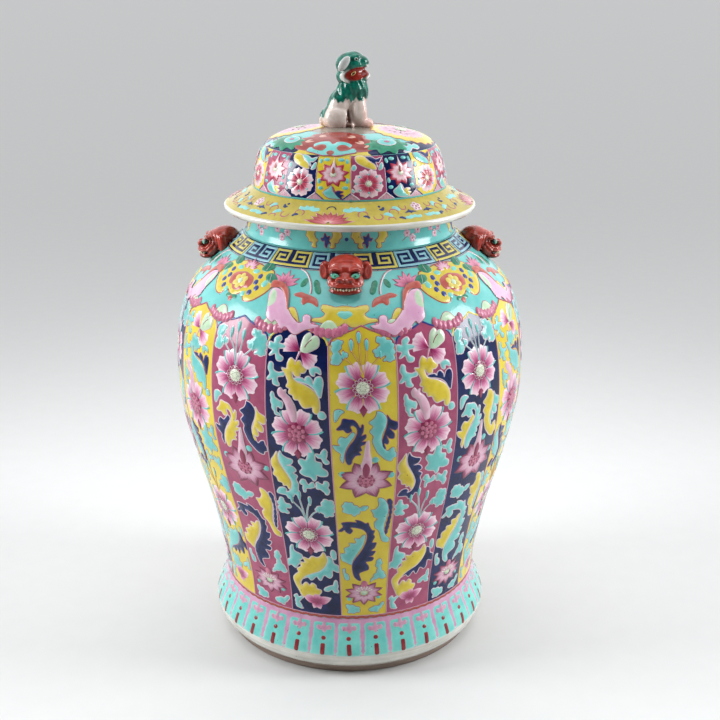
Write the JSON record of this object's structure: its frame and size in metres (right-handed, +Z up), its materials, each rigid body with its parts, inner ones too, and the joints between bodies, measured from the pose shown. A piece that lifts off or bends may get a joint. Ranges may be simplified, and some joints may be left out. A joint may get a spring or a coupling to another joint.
{
  "type": "lidded porcelain jar",
  "caption": "Baluster porcelain jar with a domed lift-off lid, a seated lion finial, animal masks on the shoulder and enamelled flower panels.",
  "frame": {"origin": "centre of the foot, on the surface that the jar stands on", "axes": "+Z up along the jar's axis, -Y towards the front mask, +X towards the side that the lion on the lid faces"},
  "size_m": [0.365, 0.365, 0.6213],
  "materials": {
    "white_glaze": "clear glossy glaze over white porcelain",
    "bare_clay": "unglazed trimmed clay, matt and slightly sandy",
    "turquoise_enamel": "glossy opaque overglaze enamel",
    "yellow_enamel": "glossy opaque overglaze enamel",
    "navy_enamel": "glossy translucent overglaze enamel",
    "rose_enamel": "glossy opaque overglaze enamel",
    "pink_enamel": "glossy shaded overglaze enamel",
    "iron_red_enamel": "glossy iron-red enamel",
    "green_enamel": "glossy streaked lead green enamel",
    "flesh_enamel": "glossy pale tinted glaze"
  },
  "bodies": {
    "jar": {"foot_ring": "bare_clay", "base_disc": "white_glaze", "lower_body": "turquoise_enamel", "upper_body": "turquoise_enamel", "neck_ring": "turquoise_enamel", "mask_front": "iron_red_enamel", "mask_right": "iron_red_enamel", "mask_back": "iron_red_enamel", "mask_left": "iron_red_enamel"},
    "lid": {"lid_brim": "yellow_enamel", "lid_dome": "turquoise_enamel", "lid_collar": "white_glaze", "finial_body": "flesh_enamel", "finial_head": "green_enamel", "finial_foreleg_left": "flesh_enamel", "finial_foreleg_right": "flesh_enamel", "finial_tail": "green_enamel"}
  },
  "joints": [
    {"name": "lid_lift", "type": "slide", "parent": "jar", "child": "lid", "axis": [0, 0, 1], "range_m": [0, 0.15]}
  ]
}
